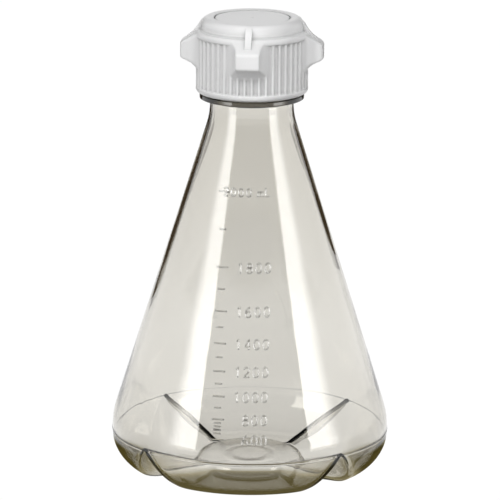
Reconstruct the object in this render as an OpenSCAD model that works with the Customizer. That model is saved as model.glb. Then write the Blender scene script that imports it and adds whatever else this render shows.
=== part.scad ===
// Baffled shake flask with a vented, lugged screw closure.
// Millimetres, +Z up. The origin is the centre of the foot, on the table.
// The graduated side faces -Y and the closure's lugs point along X and Y.

/* [Flask bowl] */
// Outside radius at the widest ring, where the mould halves part
ring_r = 81.2; // [76:0.2:90]
// Height of the widest ring, which is also the radius of the heel
ring_z = 24; // [21:0.5:28]
// Radius of the arc from the widest ring into the cone
bowl_arc_r = 49; // [35:1:60]
// Lean of the cone's side from upright, in degrees
cone_lean = 17.4; // [15:0.1:20]
// Wall thickness of the blown body
wall = 2.2; // [1.6:0.1:2.6]

/* [Flask floor] */
// Height of the pushed-up floor
plateau_z = 6; // [4:0.5:7]
// Radius of the flat of the pushed-up floor
plateau_r = 27; // [22:0.5:29]
// Inner radius of the foot that stands on the table
foot_in_r = 36; // [34:0.5:40]
// Radius of the shallow gate dish in the floor
dish_r = 14; // [8:0.5:18]
// Depth of the gate dish
dish_h = 0.8; // [0.4:0.1:1.2]

/* [Baffles] */
// Number of baffles pressed in from below
baffle_count = 4; // [3:1:6]
// Half of the angle between a baffle's two walls, in degrees
baffle_half = 39.5; // [34:0.5:44]
// Rounding of a baffle's crest
crest_r = 1; // [0.5:0.1:1.6]
// Radius at which a crest has come down to the floor
crest_in_r = 30; // [27:0.5:33]

/* [Neck] */
// Outside radius of the neck
neck_r = 24.4; // [22:0.1:28]
// Radius of the sweep from the cone into the neck
neck_sweep_r = 40; // [30:1:50]
// Straight neck below the support flange
neck_len = 2.6; // [1:0.1:6]
// How far the support flange stands out of the neck
flange_out = 6; // [5:0.1:6.4]
// Thickness of the support flange at its rim
flange_t = 2.4; // [1.6:0.1:3]
// Height of the flange's coned underside
flange_cone = 1.1; // [0.8:0.1:2]
// How far the finish, which carries the thread, stands out of the neck
finish_out = 1.8; // [1.2:0.1:2.2]
// Height of the finish above the flange
finish_h = 38; // [33:0.5:42]
// How far the mouth is bored out at the top, as a seat for the plug collar
seat_out = 1.1; // [0.9:0.1:1.3]

/* [Gasket] */
// Thickness of the sealing gasket
gasket_t = 2; // [1.4:0.1:2.6]
// How far the gasket lies inside the edges of the rim
gasket_in = 0.3; // [0.2:0.1:0.6]

/* [Closure shell] */
// Gap between the support flange and the closure's skirt
skirt_gap = 0.7; // [0.5:0.1:2]
// Room between the finish and the skirt, which the threads share
thread_room = 2.6; // [2.2:0.1:3]
// Room between the finish and the drum above the threads
land_room = 1.2; // [0.8:0.1:1.6]
// Wall of the skirt at the root of its ribs
skirt_wall = 2.4; // [2:0.1:3]
// Wall of the drum
drum_wall = 2.3; // [2:0.1:2.8]
// Height of the crown above the sealing face
crown_h = 4.6; // [4.2:0.1:6]
// Rounding of the crown's outer edge
crown_round = 4.2; // [3:0.1:4.4]
// Depth of the shoulder below the top of the crown
shoulder_drop = 7.8; // [7.4:0.1:9]
// How far the shoulder stands out of the skirt
shoulder_out = 1.6; // [1.5:0.1:2.2]
// Height of the plain band at the foot of the skirt
band_h = 3.8; // [2.6:0.1:4.6]
// Rounding of the band's lower edge
band_round = 2.4; // [1.5:0.1:2.5]

/* [Closure grip] */
// Number of ribs on the skirt
rib_count = 48; // [24:4:60]
// Height of a rib above the skirt
rib_h = 1.25; // [0.8:0.05:1.4]
// Radius of a rib's rounded crest
rib_r = 0.95; // [0.7:0.05:1.1]
// Number of lugs
lug_count = 4; // [2:1:4]
// How far a lug reaches out of the skirt
lug_out = 10.2; // [8:0.1:14]
// Width of a lug at its face
lug_w = 14; // [10:0.5:18]
// Fillet between a lug's flank and the skirt
lug_fillet = 14; // [8:0.5:16]
// Depth of a lug's face below the top of the crown
lug_drop = 15.6; // [14:0.1:17]
// Height of a lug's face
lug_face_h = 7.8; // [6:0.1:9]
// Height of the underside's slope from the face to the skirt
lug_under_h = 8.6; // [6:0.1:10]
// Wall of a lug, which is hollow from below
lug_wall = 2; // [1.6:0.1:2.4]
// Thickness of the gusset on each lug
gusset_t = 3.8; // [2.5:0.1:5]
// Depth of a gusset's top below the top of the crown
gusset_drop = 2.6; // [2:0.1:3.4]
// Radius of a gusset's hollow back
gusset_arc_r = 21; // [16:0.5:30]

/* [Vent] */
// Radius of the opening in the crown that the cover closes
cover_seat_r = 21.9; // [20:0.1:22]
// Gap round the cover
cover_gap = 0.15; // [0.1:0.05:0.3]
// Thickness of the cover
cover_t = 1.8; // [1.4:0.1:2]
// How far the cover lies below the top of the crown
cover_drop = 0.5; // [0.3:0.1:0.8]
// Width of the ledge that carries the cover
ledge_w = 1.7; // [1.2:0.1:2.5]
// Thickness of the pierced deck under the cover
deck_t = 1.4; // [1.2:0.1:1.6]
// How far the deck's underside lies below the sealing face
deck_drop = 0.6; // [0.4:0.1:0.8]
// Spokes across the deck's window
spoke_count = 8; // [4:1:12]
// Width of a spoke and of the deck's middle ring
spoke_w = 1.4; // [1:0.1:2]
// Radius of the two air notches in the cover's edge
notch_r = 1.1; // [0.8:0.1:1.2]

/* [Vent stack] */
// Gap between the plug collar and its seat in the mouth
collar_gap = 0.4; // [0.3:0.05:0.6]
// Wall of the plug collar
collar_wall = 0.9; // [0.8:0.1:1.2]
// Reach of the plug collar below the deck
collar_h = 5; // [4.6:0.1:6]
// Running gap between the stack and the closure
stack_gap = 0.3; // [0.2:0.05:0.35]
// Thickness of the filter membrane
membrane_t = 0.4; // [0.3:0.05:0.5]
// Thickness of the pierced backing
backing_t = 0.8; // [0.6:0.1:1]
// Height of the retaining ring
retainer_h = 2.4; // [2:0.1:2.8]
// Width of the retaining ring's flat
retainer_w = 2.6; // [2:0.1:4]
// Radius of a hole in the backing
backing_hole_r = 1.9; // [1.2:0.1:2.1]

/* [Hidden] */
$fn = 120;
eps = 0.05;       // clearance between flat faces that lie on each other
over = 1;         // overrun of a cut past the face that it leaves
collar_foot = 1;  // room under the plug collar in its seat
arc_step = 6;     // degrees between the points of a curved outline

// Flask: heights and radii that follow from the sizes above
heel_c = [ring_r - ring_z, ring_z];
bowl_c = [ring_r - bowl_arc_r, ring_z];
cone_foot = bowl_c + bowl_arc_r * [cos(cone_lean), sin(cone_lean)];
kink_z = cone_foot[1] + (cone_foot[0] - neck_r) / tan(cone_lean);
sweep_c = [neck_r + neck_sweep_r, kink_z + neck_sweep_r * tan(cone_lean / 2)];
flange_r = neck_r + flange_out;
flange_z = sweep_c[1] + neck_len + flange_cone;
flange_top_z = flange_z + flange_t;
finish_r = neck_r + finish_out;
mouth_r = neck_r - wall;
seat_r = mouth_r + seat_out;
rim_z = flange_top_z + finish_h;
push_dr = (foot_in_r - plateau_r) / 2;
push_arc_r = (pow(push_dr, 2) + pow(plateau_z / 2, 2)) / plateau_z;
push_turn = 2 * atan(plateau_z / 2 / push_dr);
crest_slope = atan((ring_z - plateau_z) / (ring_r - crest_in_r));

// Closure: it hangs from the sealing face
seal_z = rim_z + gasket_t + eps;
top_z = seal_z + crown_h;
skirt_z = flange_top_z + skirt_gap;
bore_r = finish_r + thread_room;
skirt_r = bore_r + skirt_wall;
land_r = finish_r + land_room;
drum_r = land_r + drum_wall;
shoulder_r = skirt_r + shoulder_out;
band_r = skirt_r + rib_h + 0.1;
shoulder_z = top_z - shoulder_drop;
lug_r = skirt_r + lug_out;
lug_face_z = top_z - lug_drop;
lug_low_z = lug_face_z - lug_face_h;
cover_top_z = top_z - cover_drop;
ledge_z = cover_top_z - cover_t;
chamber_r = cover_seat_r - ledge_w;
deck_z = seal_z - deck_drop;
collar_r = seat_r - collar_gap;
collar_in_r = collar_r - collar_wall;
window_r = collar_in_r - 2.4;
stack_r = collar_in_r - stack_gap;
membrane_z = deck_z - eps - membrane_t;
backing_z = membrane_z - eps - backing_t;
retainer_z = backing_z - eps - retainer_h;
seat_z = deck_z - collar_h - collar_foot;

// Points along an arc about c, from angle a0 to angle a1; small arcs take a coarser step
function arc(c, r, a0, a1, step = arc_step) =
    let (n = max(2, ceil(abs(a1 - a0) / step)))
    [for (i = [0 : n]) let (a = a0 + (a1 - a0) * i / n) c + r * [cos(a), sin(a)]];

// Half outline of the blown body from the middle of the floor to the neck,
// moved inwards by the wall that lies outside it
function body_outline(in) = concat(
    [[0, plateau_z + dish_h + in], [dish_r - dish_h, plateau_z + dish_h + in], [dish_r, plateau_z + in]],
    arc([plateau_r, plateau_z - push_arc_r], push_arc_r + in, 90, 90 - push_turn, 12),
    arc([foot_in_r, push_arc_r], push_arc_r - in, 270 - push_turn, 270, 12),
    arc(heel_c, ring_z - in, 270, 360),
    arc(bowl_c, bowl_arc_r - in, 2, cone_lean),
    arc(sweep_c, neck_sweep_r + in, 180 + cone_lean, 180));

// Support flange and finish above the neck, ending at the rim
function finish_outline() =
    let (round = 1)
    concat(
        [[neck_r, sweep_c[1] + neck_len], [flange_r - 0.6, flange_z - 0.4]],
        [[flange_r, flange_z], [flange_r, flange_top_z - 0.5], [flange_r - 0.5, flange_top_z]],
        arc([finish_r + round, flange_top_z + round], round, 270, 180, 30),
        arc([finish_r - round, rim_z - round], round, 0, 90, 30),
        [[0, rim_z]]);

// One baffle: a V pressed up from below, with its rounded crest running
// from the widest ring down to the floor. grow moves its walls outwards.
module baffle(grow) {
    reach = ring_r + 20;
    depth = 60;
    c = [0, -crest_r / cos(crest_slope)];
    half = atan(tan(baffle_half) / cos(crest_slope));
    crest = arc(c, crest_r + grow, 180 - half, half, 25);
    foot = depth * [sin(half), -cos(half)];
    outline = concat([crest[0] + [-foot[0], foot[1]]], crest, [crest[len(crest) - 1] + foot]);
    translate([ring_r, 0, ring_z])
        rotate([0, -crest_slope, 0])
            translate([-reach, 0, 0])
                rotate([90, 0, 90])
                    linear_extrude(height = reach + 20)
                        polygon(outline);
}

module baffles(grow) {
    for (i = [0 : baffle_count - 1])
        rotate([0, 0, 45 + i * 360 / baffle_count])
            baffle(grow);
}

module flask_body() {
    color([0.86, 0.85, 0.80, 0.45])
    difference() {
        rotate_extrude() polygon(concat(body_outline(0), finish_outline()));
        baffles(0);
        difference() {
            rotate_extrude()
                polygon(concat(body_outline(wall), [[mouth_r, seat_z], [seat_r, seat_z + seat_out]],
                               [[seat_r, rim_z + over], [0, rim_z + over]]));
            baffles(wall);
        }
    }
}

module sealing_gasket() {
    color([0.75, 0.76, 0.76])
    translate([0, 0, rim_z])
        difference() {
            cylinder(r = finish_r - gasket_in, h = gasket_t);
            translate([0, 0, -over])
                cylinder(r = seat_r + gasket_in, h = gasket_t + 2 * over);
        }
}

module vent_membrane() {
    color([0.97, 0.97, 0.96])
    translate([0, 0, membrane_z])
        cylinder(r = stack_r, h = membrane_t);
}

// Pierced disc that keeps the membrane flat
module membrane_backing() {
    hole_pitch = 2 * backing_hole_r + 1.2;
    rings = floor((stack_r - retainer_w - backing_hole_r) / hole_pitch);
    color([0.90, 0.91, 0.90])
    translate([0, 0, backing_z])
        linear_extrude(height = backing_t)
            difference() {
                circle(r = stack_r);
                circle(r = backing_hole_r);
                for (k = [1 : rings])
                    for (i = [0 : 6 * k - 1])
                        rotate(i * 60 / k)
                            translate([k * hole_pitch, 0])
                                circle(r = backing_hole_r);
            }
}

// Snap ring with a thin lip below its flat
module membrane_retainer() {
    lip_w = 1.2;
    flat_t = 1.2;
    color([0.88, 0.88, 0.87])
    translate([0, 0, retainer_z])
        rotate_extrude()
            polygon([[stack_r - lip_w, 0], [stack_r, 0], [stack_r, retainer_h],
                     [stack_r - retainer_w, retainer_h], [stack_r - retainer_w, retainer_h - flat_t],
                     [stack_r - lip_w, retainer_h - flat_t]]);
}

// Half section of the closure: skirt, shoulder, drum, crown, deck and plug collar
module closure_section() {
    root_r = skirt_r - 0.3;              // the ribbed sleeve covers this
    shoulder_round = 1.5;
    drum_step = 0.25;
    step_z = top_z - 5.8;
    roll_w = 2;
    roll_h = 0.8;
    bevel = 0.6;
    land_z = shoulder_z - 3.4;
    crown_r = drum_r - crown_round;
    polygon(concat(
        [[bore_r + bevel, skirt_z]],
        arc([band_r - band_round, skirt_z + band_round], band_round, 270, 360, 15),
        [[band_r, skirt_z + band_h], [root_r, skirt_z + band_h + 0.6]],
        [[root_r, shoulder_z - 4.4], [shoulder_r - 0.3, shoulder_z - 2.9]],
        arc([shoulder_r - shoulder_round, shoulder_z - shoulder_round - 0.3], shoulder_round, 0, 78, 20),
        [[drum_r + drum_step + 0.6, shoulder_z], [drum_r + drum_step, shoulder_z + 0.6]],
        [[drum_r + drum_step, step_z - 0.15], [drum_r, step_z + 0.15]],
        arc([crown_r, top_z - crown_round], crown_round, 0, 90, 10),
        [[cover_seat_r + roll_w, top_z], [cover_seat_r + roll_w / 2, top_z - roll_h / 4]],
        [[cover_seat_r, top_z - roll_h], [cover_seat_r, ledge_z]],
        [[chamber_r, ledge_z], [chamber_r, deck_z + deck_t], [0, deck_z + deck_t], [0, deck_z]],
        [[collar_in_r, deck_z], [collar_in_r, deck_z - collar_h]],
        [[collar_r - 0.3, deck_z - collar_h], [collar_r, deck_z - collar_h + 0.5], [collar_r, seal_z]],
        [[land_r, seal_z], [land_r, land_z + (bore_r - land_r)], [bore_r, land_z]],
        [[bore_r, skirt_z + bevel]]));
}

// Ribbed sleeve round the skirt
module rib_sleeve() {
    low_z = skirt_z + band_h - 0.4;
    high_z = shoulder_z - 3.4;
    translate([0, 0, low_z])
        linear_extrude(height = high_z - low_z)
            difference() {
                union() {
                    circle(r = skirt_r);
                    for (i = [0 : rib_count - 1])
                        rotate((i + 0.5) * 360 / rib_count)
                            translate([skirt_r + rib_h - rib_r, 0])
                                circle(r = rib_r);
                }
                circle(r = (bore_r + skirt_r) / 2);
            }
}

// Plan of one lug along +X: flanks that flare into the skirt by a fillet
module lug_plan() {
    half_w = lug_w / 2;
    corner = 1.2;
    fillet_c = [sqrt(pow(skirt_r + lug_fillet, 2) - pow(half_w + lug_fillet, 2)), half_w + lug_fillet];
    turn = atan(fillet_c[1] / fillet_c[0]);
    flare = arc(fillet_c, lug_fillet, 180 + turn, 270, 8);
    tip = arc([lug_r - corner, half_w - corner], corner, 90, 0, 30);
    near = [for (p = flare) if (p[0] < lug_r - corner - 0.1) p];
    upper = concat([near[0] - [2, 0]], near, tip);
    polygon(concat(upper, [for (i = [len(upper) - 1 : -1 : 0]) [upper[i][0], -upper[i][1]]]));
}

// Side outline of a lug, from the shoulder over the face to the skirt
function lug_outline() =
    let (top_c = [lug_r - 2.6, lug_face_z - 0.4], top_round = 2.6,
         low_c = [lug_r - 1.4, lug_low_z + 0.6], low_round = 1.4,
         in_r = (bore_r + skirt_r) / 2)
    concat(
        [[in_r, shoulder_z - 0.6], [drum_r + 2, shoulder_z - 0.6]],
        arc(top_c, top_round, 68, 0, 15),
        arc(low_c, low_round, 0, -60, 20),
        [[lug_r - 0.55 * lug_out, lug_low_z - 0.32 * lug_under_h]],
        [[skirt_r + 1.2, lug_low_z - 0.68 * lug_under_h], [skirt_r - 0.2, lug_low_z - lug_under_h]],
        [[in_r, lug_low_z - lug_under_h]]);

// Core that makes a lug hollow from below
module lug_core() {
    in_r = band_r + 0.2;
    out_r = lug_r - lug_wall;
    roof_in = shoulder_z - 1.8 - lug_wall;
    roof_out = lug_face_z - lug_wall;
    rotate([90, 0, 0])
        linear_extrude(height = lug_w - 2 * lug_wall, center = true)
            polygon([[in_r, roof_in], [out_r - 1.6, roof_out + 1.6], [out_r, roof_out],
                     [out_r, lug_low_z - lug_under_h - over], [in_r, lug_low_z - lug_under_h - over]]);
}

// Gusset with a hollow back, from the drum down onto the lug
module gusset() {
    head = [drum_r + 0.5, top_z - gusset_drop];
    toe = [lug_r - 3.6, top_z - lug_drop + 4.1];
    chord = toe - head;
    half_len = norm(chord) / 2;
    normal = [-chord[1], chord[0]] / norm(chord);
    centre = (head + toe) / 2 + normal * sqrt(pow(gusset_arc_r, 2) - pow(half_len, 2));
    a_head = atan2(head[1] - centre[1], head[0] - centre[0]);
    a_toe = atan2(toe[1] - centre[1], toe[0] - centre[0]);
    back = arc(centre, gusset_arc_r, a_head < 0 ? a_head + 360 : a_head, a_toe < 0 ? a_toe + 360 : a_toe);
    rotate([90, 0, 0])
        linear_extrude(height = gusset_t, center = true)
            polygon(concat([[land_r + 1, top_z - gusset_drop - 0.6]], back,
                           [[toe[0], toe[1] - 3.4], [land_r + 1, shoulder_z - 2]]));
}

module lugs() {
    for (i = [0 : lug_count - 1])
        rotate([0, 0, i * 360 / lug_count]) {
            intersection() {
                rotate_extrude() polygon(lug_outline());
                translate([0, 0, lug_low_z - lug_under_h - over])
                    linear_extrude(height = top_z - lug_low_z + lug_under_h) lug_plan();
            }
            gusset();
        }
}

// Window in the deck, with a hub, a middle ring and spokes left standing
module deck_window() {
    hub_r = 3;
    mid_r = (hub_r + window_r) / 2;
    translate([0, 0, deck_z - over / 2])
        linear_extrude(height = deck_t + over)
            difference() {
                circle(r = window_r);
                circle(r = hub_r);
                difference() {
                    circle(r = mid_r + spoke_w / 2);
                    circle(r = mid_r - spoke_w / 2);
                }
                for (i = [0 : spoke_count - 1])
                    rotate((i + 0.5) * 360 / spoke_count)
                        translate([0, -spoke_w / 2])
                            square([window_r + over, spoke_w]);
            }
}

module closure_shell() {
    color([0.93, 0.93, 0.93])
    difference() {
        union() {
            rotate_extrude() closure_section();
            rib_sleeve();
            lugs();
        }
        deck_window();
        for (i = [0 : lug_count - 1])
            rotate([0, 0, i * 360 / lug_count])
                lug_core();
    }
}

// Disc that closes the crown, with two air notches in its edge
module vent_cover() {
    edge_r = cover_seat_r - cover_gap;
    color([0.86, 0.86, 0.86])
    translate([0, 0, ledge_z])
        linear_extrude(height = cover_t)
            difference() {
                circle(r = edge_r);
                for (side = [0, 180])
                    rotate(side)
                        translate([edge_r - 0.9, 0])
                            circle(r = notch_r);
            }
}

flask_body();
sealing_gasket();
vent_membrane();
membrane_backing();
membrane_retainer();
closure_shell();
vent_cover();
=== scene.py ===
import math
import bpy
import numpy as np
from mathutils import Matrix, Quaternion, Vector


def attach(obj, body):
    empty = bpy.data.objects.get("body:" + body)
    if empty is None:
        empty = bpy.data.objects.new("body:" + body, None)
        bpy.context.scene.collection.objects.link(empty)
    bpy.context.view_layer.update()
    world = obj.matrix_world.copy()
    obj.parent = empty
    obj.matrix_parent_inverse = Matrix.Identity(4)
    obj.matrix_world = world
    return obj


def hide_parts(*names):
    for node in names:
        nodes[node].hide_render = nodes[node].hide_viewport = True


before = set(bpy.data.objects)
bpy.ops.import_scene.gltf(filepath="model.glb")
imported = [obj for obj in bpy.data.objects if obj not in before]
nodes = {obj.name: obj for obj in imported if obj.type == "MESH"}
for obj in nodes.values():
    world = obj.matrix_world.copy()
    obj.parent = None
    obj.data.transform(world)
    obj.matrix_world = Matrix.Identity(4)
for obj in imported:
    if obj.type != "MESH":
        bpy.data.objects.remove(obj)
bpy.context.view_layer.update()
mm = 0.001
print("frame loaded:", sorted(nodes))


def line(start, end, count):
    # count points from start towards end, the end left out
    share = np.linspace(0, 1, count, endpoint=False)[:, None]
    return np.array(start, float) + share * (np.array(end, float) - np.array(start, float))


def arc(centre, radius, fromDeg, toDeg, count):
    # centre + radius * (cos a, sin a), the last angle left out
    angle = np.radians(np.linspace(fromDeg, toDeg, count, endpoint=False))
    return np.array(centre, float) + radius * np.stack([np.cos(angle), np.sin(angle)], 1)


def roundedPath(corners, step, perArc=5):
    # corners are (r, z, rounding); each is cut by the arc that touches both of its sides,
    # which starts rounding * tan(turn / 2) before the corner, and straights are cut every step
    spots = np.array([c[:2] for c in corners], float)
    bends = [spots[:1]]
    for back, here, ahead, corner in zip(spots, spots[1:], spots[2:], corners[1:]):
        if len(corner) < 3:
            bends.append(here[None])
            continue
        rounding = corner[2]
        back, ahead = back - here, ahead - here
        back, ahead = back / np.linalg.norm(back), ahead / np.linalg.norm(ahead)
        turn = math.pi - math.acos(np.clip(back @ ahead, -1, 1))
        reach = rounding * math.tan(turn / 2)
        middle = back + ahead
        centre = here + middle / np.linalg.norm(middle) * rounding / math.cos(turn / 2)
        chord = here + reach * (back + np.linspace(0, 1, perArc)[:, None] * (ahead - back)) - centre
        bends.append(centre + chord / np.linalg.norm(chord, axis=1)[:, None] * rounding)
    bends.append(spots[-1:])
    pieces = []
    for bend, following in zip(bends, bends[1:]):
        gap = following[0] - bend[-1]
        cuts = max(1, math.ceil(np.linalg.norm(gap) / step))
        pieces += [bend[:-1], bend[-1] + np.linspace(0, 1, cuts, endpoint=False)[:, None] * gap]
    return np.concatenate(pieces + [spots[-1:]])


def meshFrom(name, points, faces, smoothDeg=None):
    mesh = bpy.data.meshes.new(name)
    mesh.from_pydata((np.asarray(points) * mm).tolist(), [], faces)
    mesh.update()
    mesh.polygons.foreach_set("use_smooth", np.ones(len(mesh.polygons), bool))
    if smoothDeg is not None:
        mesh.set_sharp_from_angle(angle=math.radians(smoothDeg))
    piece = bpy.data.objects.new(name, mesh)
    bpy.context.scene.collection.objects.link(piece)
    return piece


def gridFaces(rows, columns, wrapRows):
    # quads between neighbouring rows, with the columns closed round the axis
    i = np.arange(rows if wrapRows else rows - 1)[:, None] * columns
    j = np.arange(columns)
    nextI, nextJ = (i + columns) % (rows * columns), (j + 1) % columns
    return np.stack([i + j, i + nextJ, nextI + nextJ, nextI + j], -1).reshape(-1, 4)


def gridPiece(name, grid, wrapRows=False, smoothDeg=None):
    # grid is (rows, columns, 3); the first and last row of an open grid shrink to poles
    rows, columns = grid.shape[:2]
    points = grid.reshape(-1, 3)
    faces = gridFaces(rows, columns, wrapRows)
    a, b, c, d = (points[faces[:, k]] for k in range(4))
    volume = (np.cross(a, b) * c).sum() + (np.cross(a, c) * d).sum()
    listed = faces.tolist()
    if not wrapRows:
        points = np.concatenate([points, [grid[0].mean(0), grid[-1].mean(0)]])
        pole, last = rows * columns, (rows - 1) * columns
        listed += [[pole, (j + 1) % columns, j] for j in range(columns)]
        listed += [[pole + 1, last + j, last + (j + 1) % columns] for j in range(columns)]
    if volume < 0:
        listed = [f[::-1] for f in listed]
    return meshFrom(name, points, listed, smoothDeg)


def softMax(a, b, width):
    # (a + b + sqrt((a - b)^2 + width^2)) / 2: the larger of both with a rounded join
    return (a + b + np.sqrt((a - b) ** 2 + width ** 2)) / 2


def softMin(a, b, width):
    return -softMax(-a, -b, width)


def widen(rows, angle):
    # (r, z) rows to radius and height arrays with one column for each column of angle
    return np.repeat(rows[:, :1], angle.shape[1], 1), np.repeat(rows[:, 1:], angle.shape[1], 1)


def spin(radius, height, angle):
    # radius, height and angle arrays of one shape to points round the Z axis
    return np.stack([radius * np.cos(angle), radius * np.sin(angle), height], -1)


flask = {
    "ringR": 81.2, "ringZ": 24.0, "bowlArcR": 49.0, "lean": 17.4, "wall": 2.2,
    "plateauZ": 6.0, "plateauR": 27.0, "footInR": 36.0, "dishR": 16.0, "dishH": 0.8, "dishSoft": 7.0,
    "neckR": 24.4, "sweepR": 40.0, "neckLen": 2.6,
    "flangeOut": 6.0, "flangeT": 2.4, "flangeCone": 1.1, "flangeRound": 0.35,
    "finishOut": 1.8, "finishH": 38.0, "seatOut": 1.1, "seatDrop": 4.5,
    "baffleHalf": 39.5, "crestR": 1.0, "crestBulge": 4.0, "bulgeAt": 57.0, "bulgeW": 9.0,
    "crestInR": 30.0, "edgeSoft": 1.2, "softRise": 5.0, "calmAbove": 12.0, "calmInR": 20.0,
    "pitch": 7.0, "threadTurns": 1.7, "threadH": 1.8, "threadW": 3.2, "threadDrop": 9.0,
    "partingZ": 24.0, "partingH": 0.3, "partingW": 0.4, "recessW": 4.8,
    "thickAt": (40, 70, 120, 170, 205, 219), "thicker": (0, -0.5, -0.1, 0.5, 0.8, 0),
    # columns from a crest to its notch's edge, on to the zone's end, and across to the next zone
    "near": 9, "far": 8, "between": 15, "zoneDeg": 24.0, "plainDeg": 8.0, "leastDeg": 1.6, "mostDeg": 18.0,
}


def flaskPlaces(s):
    # heights and centres that follow from the sizes
    lean = math.radians(s["lean"])
    p = {"heelC": (s["ringR"] - s["ringZ"], s["ringZ"]), "bowlC": (s["ringR"] - s["bowlArcR"], s["ringZ"])}
    footR = p["bowlC"][0] + s["bowlArcR"] * math.cos(lean)
    footZ = p["bowlC"][1] + s["bowlArcR"] * math.sin(lean)
    kinkZ = footZ + (footR - s["neckR"]) / math.tan(lean)
    p["sweepC"] = (s["neckR"] + s["sweepR"], kinkZ + s["sweepR"] * math.tan(lean / 2))
    p["flangeR"] = s["neckR"] + s["flangeOut"]
    p["flangeZ"] = p["sweepC"][1] + s["neckLen"] + s["flangeCone"]
    p["flangeTopZ"] = p["flangeZ"] + s["flangeT"]
    p["finishR"] = s["neckR"] + s["finishOut"]
    p["mouthR"] = s["neckR"] - s["wall"]
    p["seatR"] = p["mouthR"] + s["seatOut"]
    p["rimZ"] = p["flangeTopZ"] + s["finishH"]
    pushDr = (s["footInR"] - s["plateauR"]) / 2
    p["pushR"] = (pushDr ** 2 + (s["plateauZ"] / 2) ** 2) / s["plateauZ"]
    p["pushTurn"] = math.degrees(2 * math.atan(s["plateauZ"] / 2 / pushDr))
    p["crestSlope"] = (s["ringZ"] - s["plateauZ"]) / (s["ringR"] - s["crestInR"])
    return p


place = flaskPlaces(flask)


def bodyOutline(inset):
    # (r, z) from the middle of the floor to the neck, moved inwards by inset
    s, p = flask, place
    floorZ = s["plateauZ"] + inset
    lean = math.radians(s["lean"])
    out = np.array([math.cos(lean), math.sin(lean)])
    coneLow = p["bowlC"] + (s["bowlArcR"] - inset) * out
    coneHigh = p["sweepC"] - (s["sweepR"] + inset) * out
    dishRing = s["dishR"] - s["dishSoft"] * np.linspace(1, 0, 9, endpoint=False)
    dishFall = s["dishH"] * (0.5 + 0.5 * np.cos(np.linspace(0, math.pi, 9, endpoint=False)))
    return np.concatenate([
        line((0.8, floorZ + s["dishH"]), (s["dishR"] - s["dishSoft"], floorZ + s["dishH"]), 5),
        np.stack([dishRing, floorZ + dishFall], 1),
        line((s["dishR"], floorZ), (s["plateauR"], floorZ), 5),
        arc((s["plateauR"], s["plateauZ"] - p["pushR"]), p["pushR"] + inset, 90, 90 - p["pushTurn"], 8),
        arc((s["footInR"], p["pushR"]), p["pushR"] - inset, 270 - p["pushTurn"], 270, 8),
        line((s["footInR"], inset), (p["heelC"][0], inset), 14),
        # rows are closer round the mould line
        arc(p["heelC"], s["ringZ"] - inset, 270, 354, 28),
        arc(p["heelC"], s["ringZ"] - inset, 354, 360, 14),
        arc(p["bowlC"], s["bowlArcR"] - inset, 0, 3, 14),
        arc(p["bowlC"], s["bowlArcR"] - inset, 3, s["lean"], 8),
        line(coneLow, coneHigh, 34),
        arc(p["sweepC"], s["sweepR"] + inset, 180 + s["lean"], 180, 9)])


def finishOutline():
    # (r, z) from the neck over the support flange and the finish to the seat in the mouth
    s, p = flask, place
    neckTop = p["sweepC"][1] + s["neckLen"]
    corners = [(s["neckR"], p["sweepC"][1]), (s["neckR"], neckTop, 1.2),
               (p["flangeR"], p["flangeZ"] - 0.2, s["flangeRound"]),
               (p["flangeR"], p["flangeTopZ"], s["flangeRound"]),
               (p["finishR"], p["flangeTopZ"], 1.0), (p["finishR"], p["rimZ"], 0.9),
               (p["seatR"], p["rimZ"], 0.3), (p["seatR"], p["rimZ"] - s["seatDrop"] + s["seatOut"], 0.4),
               (p["mouthR"], p["rimZ"] - s["seatDrop"], 0.4), (p["mouthR"], p["sweepC"][1])]
    return roundedPath(corners, 0.65)[:-1]


def baffleHeight(x, y, grow):
    # height of the V over a point: crest line less |t| / tan(half angle), its crest rounded by a
    # hyperbola that is blunter at mid length; the highest of the four baffles counts
    s, p = flask, place
    half = math.radians(s["baffleHalf"])
    rise = math.sqrt(1 + p["crestSlope"] ** 2)
    best = np.full(np.shape(x), -1e3)
    for k in range(4):
        turn = math.radians(45 + 90 * k)
        along = x * math.cos(turn) + y * math.sin(turn)
        across = -x * math.sin(turn) + y * math.cos(turn)
        crest = s["ringZ"] + (along - s["ringR"]) * p["crestSlope"]
        crestR = s["crestR"] + s["crestBulge"] * np.exp(-((along - s["bulgeAt"]) / s["bulgeW"]) ** 2)
        apex = rise * ((crestR + grow) / math.sin(half) - crestR)
        blunt = rise * (crestR + grow) * (1 / math.sin(half) - 1) * math.tan(half)
        high = crest + apex - np.sqrt(across ** 2 + blunt ** 2) / math.tan(half)
        best = np.maximum(best, np.where(along > 0, high, -1e3))
    return best


def baffleEdge(outline, grow, least, most):
    # half angle of the notch in each row: where the V meets that row's height, found by halving
    low = np.zeros(len(outline))
    high = np.full(len(outline), math.radians(40.0))
    for _ in range(30):
        mid = (low + high) / 2
        x, y = outline[:, 0] * np.cos(mid + math.pi / 4), outline[:, 0] * np.sin(mid + math.pi / 4)
        inside = baffleHeight(x, y, grow) > outline[:, 1]
        low, high = np.where(inside, mid, low), np.where(inside, high, mid)
    edge = np.clip(low, math.radians(least), math.radians(most))
    kernel = np.array([1, 2, 3, 2, 1]) / 9
    return np.convolve(np.pad(edge, 2, mode="edge"), kernel, mode="valid")


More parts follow.
